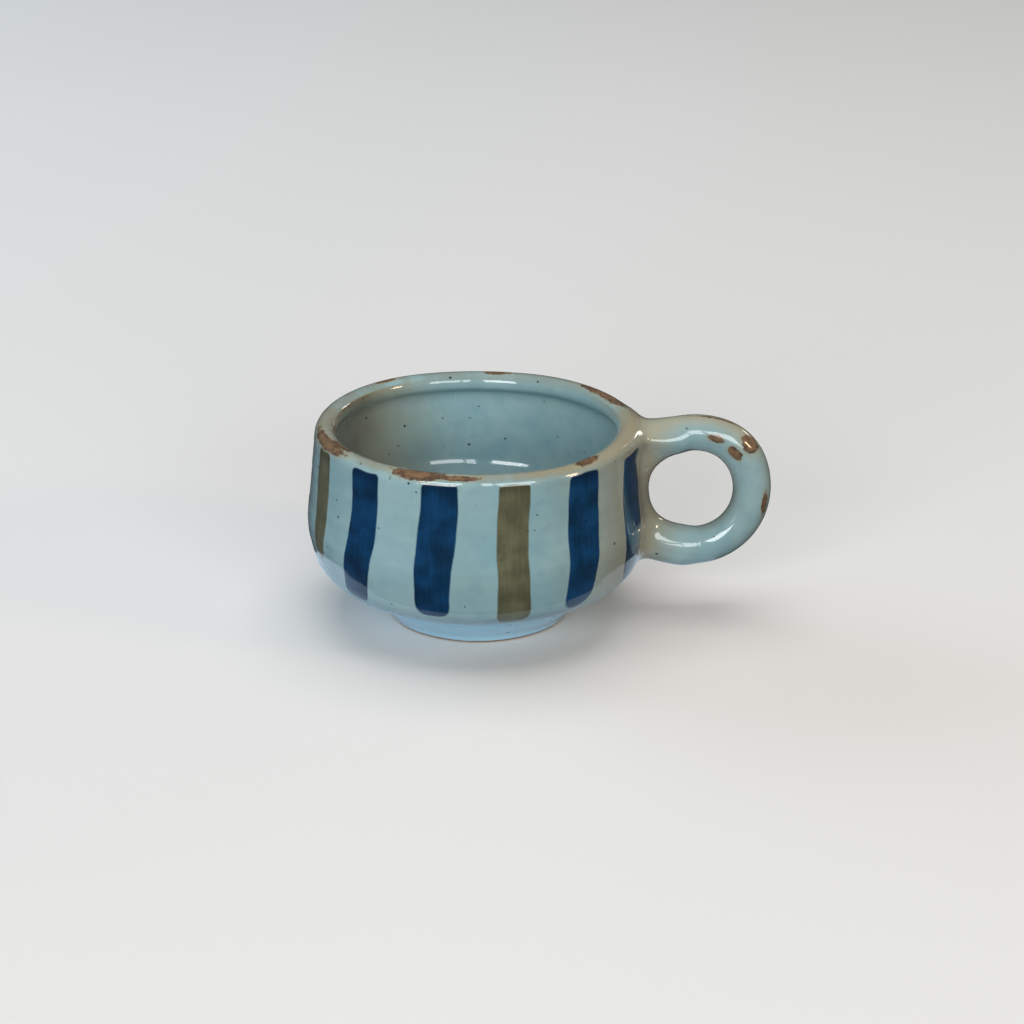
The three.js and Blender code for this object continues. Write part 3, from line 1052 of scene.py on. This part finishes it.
def celadon(finish):
    """The pale blue-grey glaze over the clay, tinted where it runs thin, darker along the crease and warmer
    in places, with painted light, painted shade and painted warm light mixed into its colour.

    Gives its colour, and the mottling that its skin shares.
    """
    drift = finish.step(finish.clouds(size=34, seed=1.3), low=0.36, high=0.64)
    mottle = finish.clouds(size=5, seed=4.1, detail=3)
    milk = finish.step(finish.clouds(size=13, seed=7.7, detail=3), low=0.35, high=0.7)
    body = finish.mix(drift, GLAZE_BLUE, GLAZE_GREEN)
    body = finish.mix(milk * 0.5, body, GLAZE_MILKY)
    body = finish.mix(finish.step(mottle, low=0.45, high=0.7) * 0.35, body, GLAZE_MOTTLED)
    # Painted light: paler where the front left and the cup's floor are lit
    body = finish.mix(finish.painted("pale") * 0.6, body, PAINTED_LIGHT_PALE)
    # Darker where painted shade falls under the lip and inside on the right, and along the crease
    body = finish.mix(finish.painted("pooled_and_shaded") * 0.55, body, GLAZE_POOLED_AND_SHADED)
    patches = finish.step(finish.clouds(size=9, seed=2.2, detail=3), low=0.24, high=0.56)
    thin = finish.painted("thin") * patches
    body = finish.mix(thin * 0.75, body, GLAZE_THIN)
    uneven = (finish.clouds(size=11, seed=6.2, detail=3) - 0.5) * 0.3
    # Painted warm light on the right side, and warmer tints on the lip and the handle
    warm = finish.step(finish.painted("warm") + uneven, low=0.1, high=0.9)
    body = finish.mix(warm * 0.75, body, WARM_TINT_AND_LIGHT)
    # Painted shade inside the cup: olive, and umber where it is darkest
    deep = finish.painted("deep") + uneven
    body = finish.mix(finish.step(deep, low=0.1, high=0.8) * 0.8, body, SHADE_OLIVE)
    body = finish.mix(finish.step(deep, low=0.6, high=1.1) * 0.8, body, SHADE_UMBER)
    return body, mottle


def iron_breaks(finish, body):
    """Brown where the glaze pulls back from the clay, ragged at its edge and rusty in patches.

    Gives the colour with the breaks in it, and where they are.
    """
    ragged = finish.clouds(size=2.8, seed=9.1, detail=4) - 0.5
    break_up = finish.clouds(size=0.8, seed=3.3, detail=4) - 0.5
    painted = finish.painted("iron") + ragged * 1.1 + break_up * 0.35
    mask = finish.step(painted, low=0.1, high=0.26)
    halo = finish.step(painted, low=-0.25, high=0.15)
    rust = finish.step(finish.clouds(size=1.7, seed=5.9, detail=4), low=0.4, high=0.62)
    brown = finish.mix(rust, BREAK_DARK, BREAK_RUSTY)
    inner = finish.step(painted, low=0.3, high=0.8)
    brown = finish.mix(inner * 0.45, brown, BREAK_LIGHT)
    body = finish.mix(halo * 0.45, body, BREAK_HALO)
    return finish.mix(mask * 0.95, body, brown), mask


def specks(finish, body):
    """Iron specks in the clay that bleed up through the glaze, a few large and many fine.

    Gives the colour with the specks in it, and where the large ones are.
    """
    large = finish.dots(spacing=5.6, radius=0.58, chance=0.6, seed=0.031)
    middling = finish.dots(spacing=4.2, radius=0.4, chance=0.5, seed=0.043)
    small = finish.dots(spacing=2.4, radius=0.22, chance=0.35, seed=0.057)
    faint = finish.dots(spacing=1.6, radius=0.3, chance=0.2, seed=0.083)
    body = finish.mix(faint * 0.2, body, SPECK_FAINT)
    body = finish.mix(small * 0.55, body, SPECK_SMALL)
    body = finish.mix(middling * 0.8, body, SPECK_MIDDLING)
    return finish.mix(large * 0.9, body, SPECK_LARGE), large


def glaze_surface(finish, mottle, brown, large):
    """A soft gloss under a clear wet coat, duller on bare brown, over an uneven skin."""
    smears = finish.clouds(size=7, seed=6.4)
    finish.set(Roughness=GLAZE_ROUGHNESS + brown * 0.15 + smears * 0.08, IOR=GLASS_IOR)
    finish.set(Coat_Weight=1.0, Coat_Roughness=COAT_ROUGHNESS, Coat_IOR=GLASS_IOR)
    finish.set(Specular_IOR_Level=GLAZE_SPECULAR)
    ripples = finish.clouds(size=6, seed=8.8, detail=1)
    grain = finish.clouds(size=0.9, seed=2.9)
    skin = ripples * 0.75 + mottle * 0.12 + grain * 0.03
    finish.set(Normal=finish.bump(skin - brown * 0.16 + large * 0.1, SKIN_DEPTH))


def celadon_finish():
    """The glaze of the bowl and the handle."""
    finish = Finish("celadon_glaze")
    body, mottle = celadon(finish)
    body, brown = iron_breaks(finish, body)
    body, large = specks(finish, body)
    finish.set(Base_Color=body)
    glaze_surface(finish, mottle, brown, large)
    return finish.material


def foot_finish():
    """The same glaze, wiped off the standing edge, where the fired clay shows."""
    finish = Finish("celadon_over_bare_clay")
    body = celadon(finish)[0]
    body = finish.mix(0.8, body, GLAZE_ON_FOOT)
    body = specks(finish, body)[0]
    ragged = finish.painted("bare") + (finish.clouds(size=3.5, seed=1.9, detail=4) - 0.5) * 0.5
    wiped = finish.step(ragged, low=0.4, high=0.6)
    clay = finish.mix(finish.clouds(size=1.2, seed=7.1, detail=4), CLAY_DARK, CLAY_LIGHT)
    finish.set(Base_Color=finish.mix(wiped, body, clay))
    finish.set(Roughness=GLAZE_ROUGHNESS + wiped * 0.6, IOR=GLASS_IOR)
    finish.set(Coat_Weight=1 - wiped, Coat_Roughness=COAT_ROUGHNESS, Coat_IOR=GLASS_IOR)
    finish.set(Specular_IOR_Level=GLAZE_SPECULAR)
    ripples = finish.clouds(size=6, seed=8.8, detail=1)
    grit = finish.clouds(size=0.5, seed=4.4, detail=4)
    skin = ripples * 0.75 + wiped * grit * 0.4
    finish.set(Normal=finish.bump(skin, SKIN_DEPTH))
    return finish.material


def slip_finish(name, full, thin, pooled):
    """Brushed slip under the glaze: streaked along the brush, darker where it pooled, soft at its edges."""
    finish = Finish(name)
    body, mottle = celadon(finish)
    across = finish.painted("across")
    below_top = finish.painted("below_top")
    brush = finish.node("ShaderNodeCombineXYZ", {}, {"X": across * 1.1, "Y": below_top * 0.07, "Z": 0.0})
    streaks = finish.node("ShaderNodeTexNoise", {}, {"Vector": brush, "Scale": 1.0, "Detail": 3})
    wash = finish.clouds(size=7, seed=3.9, detail=3)
    slip = finish.mix(finish.step(streaks * 0.25 + wash * 0.75, low=0.34, high=0.66), full, thin)
    inside = finish.painted("inside") + (finish.clouds(size=1.3, seed=5.2, detail=3) - 0.5) * 0.16
    top = 1 - finish.step(below_top + (streaks - 0.5) * 3, low=0.4, high=5)
    slip = finish.mix(top * 0.75, slip, pooled)
    mask = finish.step(inside, low=-0.25, high=0.35)
    body, large = specks(finish, body)
    body = finish.mix(mask, body, finish.mix(large * 0.6, slip, pooled))
    body, brown = iron_breaks(finish, body)
    finish.set(Base_Color=body)
    glaze_surface(finish, mottle, brown, large)
    return finish.material


def floor_finish(name, dark, light):
    """A plain matt finish that drifts slowly between two shades."""
    finish = Finish(name)
    shade = finish.clouds(size=420, seed=2.0)
    finish.set(Base_Color=finish.mix(shade, dark, light), Roughness=0.85)
    return finish.material


# ---------------------------------------------------------------- studio

VIEW_AIM = (AXIS_X + 10.3, 0, 31.4)
VIEW_DISTANCE = 965.5
VIEW_DOWN = 22.59  # degrees
VIEW_LENS = 110
FILM_WIDTH = 36
FARTHEST_SEEN = 50  # in metres


def make_camera():
    """Straight in front of the mug, looking down on it through a long lens."""
    camera = bpy.data.objects.new("camera", bpy.data.cameras.new("camera"))
    camera.data.lens = VIEW_LENS
    camera.data.sensor_width = FILM_WIDTH
    down = math.radians(VIEW_DOWN)
    back = Vector((0, -math.cos(down), math.sin(down))) * VIEW_DISTANCE
    camera.location = (Vector(VIEW_AIM) + back) * MM
    camera.rotation_euler = (math.pi / 2 - down, 0, 0)
    camera.data.clip_end = FARTHEST_SEEN
    bpy.context.scene.collection.objects.link(camera)
    bpy.context.scene.camera = camera


def panel(name, place, size, watts, tint):
    """A soft light of this width and height in metres, turned towards the mug."""
    light = bpy.data.lights.new(name, "AREA")
    light.shape = "RECTANGLE"
    light.size, light.size_y = size
    light.energy = watts
    light.color = tint
    lamp = bpy.data.objects.new(name, light)
    lamp.location = place
    target = Vector((AXIS_X * MM, 0, RIM * MM / 2))
    lamp.rotation_euler = (Vector(place) - target).to_track_quat("Z", "Y").to_euler()
    lamp.visible_camera = False
    bpy.context.scene.collection.objects.link(lamp)
    return lamp


# Two tall windows behind the camera, each with a wide and a narrow pane: the angles of a pane's left and
# right edges from straight behind, and watts for each square metre of it; sizes in metres
PANES = [
    (-37.6, -32.4, 34),
    (-30.8, -9.6, 34),
    (3.6, 10.4, 22),
    (13, 37.6, 22),
]
WINDOW_DISTANCE = 1.5
WINDOW_MIDDLE = 0.66
WINDOW_HEIGHT = 0.7
DAYLIGHT = (0.95, 0.985, 1)
ROOM_COLOUR = (0.9, 0.92, 0.95, 1)
ROOM_STRENGTH = 0.06


def make_windows():
    for number, (left, right, brightness) in enumerate(PANES):
        low, high = [WINDOW_DISTANCE * math.tan(math.radians(angle)) for angle in (left, right)]
        place = (AXIS_X * MM + (low + high) / 2, -WINDOW_DISTANCE, WINDOW_MIDDLE)
        size = (high - low, WINDOW_HEIGHT)
        panel(f"window_{number + 1}", place, size, brightness * size[0] * size[1], DAYLIGHT)


def make_lights():
    """The windows, two soft panels that light but don't mirror in the glaze, two lamps, and a dim room."""
    make_windows()
    cool_side = panel("cool_side", place=(-1.3, 0.7, 0.45), size=(0.9, 0.9), watts=16, tint=(0.62, 0.82, 1))
    panel("rim_lamp", place=(1.02, 0.98, 0.56), size=(0.3, 0.12), watts=0.9, tint=(1, 0.93, 0.82))
    panel("warm_lamp", place=(1.3, -0.48, 0.62), size=(0.22, 0.22), watts=4, tint=(1, 0.72, 0.46))
    overhead = panel("overhead", place=(0, 0.3, 1.8), size=(1.6, 1.6), watts=28, tint=(1, 0.99, 0.98))
    for soft_panel in (cool_side, overhead):
        soft_panel.visible_glossy = False
    world = bpy.data.worlds.new("studio")
    world.use_nodes = True
    background = world.node_tree.nodes["Background"]
    background.inputs["Color"].default_value = ROOM_COLOUR
    background.inputs["Strength"].default_value = ROOM_STRENGTH
    bpy.context.scene.world = world


# In metres
FLOOR_REACH = 4
STAND_HALF_WIDTH = 0.078
STAND_HALF_DEPTH = 0.058
STAND_DROP = 0.0003
SHEET_SIDES = 96


def floor_sheet(name, half_width, half_depth, height, finish):
    """A flat oval under the mug."""
    edge = []
    for number in range(SHEET_SIDES):
        angle = FULL_TURN * number / SHEET_SIDES
        edge.append((AXIS_X * MM + half_width * math.cos(angle), half_depth * math.sin(angle), height))
    mesh = bpy.data.meshes.new(name)
    mesh.from_pydata(edge, [], [tuple(range(SHEET_SIDES))])
    mesh.materials.append(finish)
    sheet = bpy.data.objects.new(name, mesh)
    bpy.context.scene.collection.objects.link(sheet)
    return sheet


def make_floor():
    """A pale floor, and just under it a small cool stand that lights the mug and mirrors in its glaze."""
    floor = floor_sheet("floor", FLOOR_REACH, FLOOR_REACH, 0, floor_finish("pale_floor", *PALE_FLOOR))
    floor.visible_glossy = False
    floor.visible_diffuse = False
    floor.visible_shadow = False
    cool = floor_finish("cool_stand", *COOL_STAND)
    floor_sheet("stand", STAND_HALF_WIDTH, STAND_HALF_DEPTH, -STAND_DROP, cool)


def make_mug():
    """Every piece; of each three strokes round the wall, two are cobalt and one is iron."""
    glaze = celadon_finish()
    make_bowl(glaze)
    make_foot(foot_finish())
    make_ring(glaze)
    make_web("upper_handle_joint", UPPER_WEB, glaze)
    make_web("lower_handle_joint", LOWER_WEB, glaze)
    slips = {"cobalt": slip_finish("cobalt_slip", *COBALT), "iron": slip_finish("iron_slip", *IRON)}
    counts = {"cobalt": 0, "iron": 0}
    for number, stroke in enumerate(STROKES):
        pigment = "iron" if number % 3 == 2 else "cobalt"
        counts[pigment] += 1
        make_stroke(f"{pigment}_stroke_{counts[pigment]}", number, stroke, slips[pigment])


make_camera()
make_lights()
make_floor()
make_mug()
bpy.context.scene.view_settings.view_transform = "Standard"
